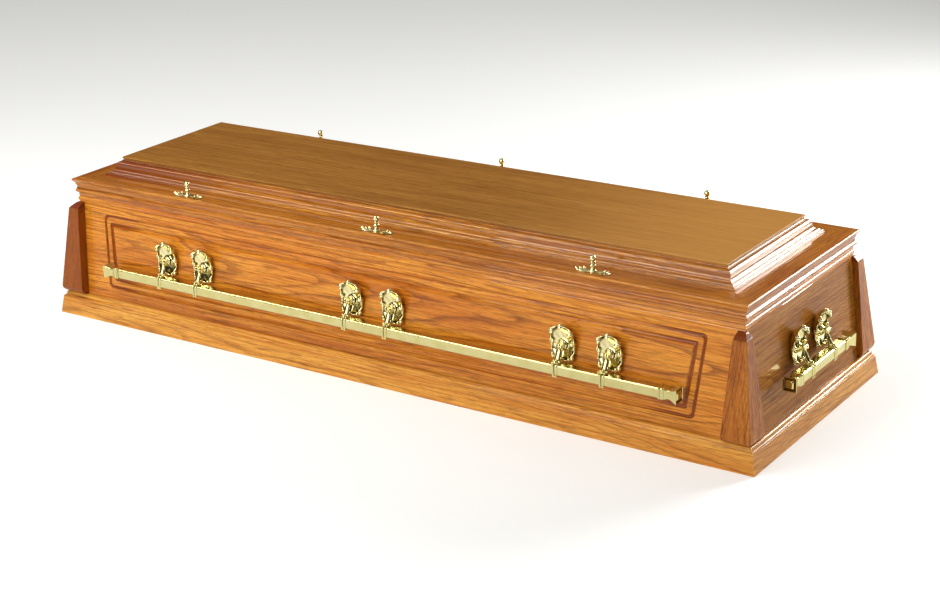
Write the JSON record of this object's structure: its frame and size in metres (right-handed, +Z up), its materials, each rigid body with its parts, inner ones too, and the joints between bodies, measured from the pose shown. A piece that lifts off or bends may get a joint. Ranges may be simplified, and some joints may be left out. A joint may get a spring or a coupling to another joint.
{
  "type": "wooden coffin",
  "caption": "Wooden coffin with leaning sides, moulded plinth, tapered corner posts, raised screw-down lid and swinging brass bar handles.",
  "frame": {"origin": "centre of the underside, on the ground", "axes": "+X along the length towards the right end, +Y to the back, +Z up"},
  "size_m": [2.1238, 0.7178, 0.427],
  "materials": {
    "honey_oak": "high-gloss lacquered honey oak with fine straight grain",
    "orange_oak": "high-gloss lacquered orange oak with bold cathedral grain",
    "brown_oak": "high-gloss lacquered mid-brown oak with cathedral grain",
    "dark_oak": "gloss lacquered red-brown oak",
    "brass": "polished pale cast brass"
  },
  "bodies": {
    "root": {"floor_board": "honey_oak", "front_side_panel": "orange_oak", "back_side_panel": "orange_oak", "right_end_panel": "brown_oak", "left_end_panel": "brown_oak", "front_plinth_moulding": "orange_oak", "back_plinth_moulding": "orange_oak", "right_plinth_moulding": "orange_oak", "left_plinth_moulding": "orange_oak", "front_bead_moulding": "orange_oak", "back_bead_moulding": "orange_oak", "right_bead_moulding": "orange_oak", "left_bead_moulding": "orange_oak", "front_right_post": "dark_oak", "front_left_post": "dark_oak", "back_right_post": "dark_oak", "back_left_post": "dark_oak", "front_lid_rail": "honey_oak", "back_lid_rail": "honey_oak", "right_lid_rail": "honey_oak", "left_lid_rail": "honey_oak", "front_raised_moulding": "dark_oak", "back_raised_moulding": "dark_oak", "right_raised_moulding": "honey_oak", "left_raised_moulding": "honey_oak", "lid_top_panel": "honey_oak", "front_plate_1": "brass", "front_plate_2": "brass", "front_plate_3": "brass", "front_plate_4": "brass", "front_plate_5": "brass", "front_plate_6": "brass", "back_plate_1": "brass", "back_plate_2": "brass", "back_plate_3": "brass", "back_plate_4": "brass", "back_plate_5": "brass", "back_plate_6": "brass", "right_plate_1": "brass", "right_plate_2": "brass", "left_plate_1": "brass", "left_plate_2": "brass", "front_screw_plate_1": "brass", "front_screw_plate_2": "brass", "front_screw_plate_3": "brass", "back_screw_plate_1": "brass", "back_screw_plate_2": "brass", "back_screw_plate_3": "brass", "front_thumb_screw_1": "brass", "front_thumb_screw_2": "brass", "front_thumb_screw_3": "brass", "back_thumb_screw_1": "brass", "back_thumb_screw_2": "brass", "back_thumb_screw_3": "brass"},
    "front_handle": {"front_bar_handle": "brass"},
    "back_handle": {"back_bar_handle": "brass"},
    "right_handle": {"right_bar_handle": "brass"},
    "left_handle": {"left_bar_handle": "brass"}
  },
  "joints": [
    {"name": "front_handle_lift", "type": "hinge", "parent": "root", "child": "front_handle", "pos_m": [0, -0.32942, 0.20427], "axis": [-1, 0, 0], "range_deg": [0, 85]},
    {"name": "back_handle_lift", "type": "hinge", "parent": "root", "child": "back_handle", "pos_m": [0, 0.32942, 0.20427], "axis": [1, 0, 0], "range_deg": [0, 85]},
    {"name": "right_handle_lift", "type": "hinge", "parent": "root", "child": "right_handle", "pos_m": [1.03242, 0, 0.20427], "axis": [0, -1, 0], "range_deg": [0, 85]},
    {"name": "left_handle_lift", "type": "hinge", "parent": "root", "child": "left_handle", "pos_m": [-1.03242, 0, 0.20427], "axis": [0, 1, 0], "range_deg": [0, 85]}
  ]
}
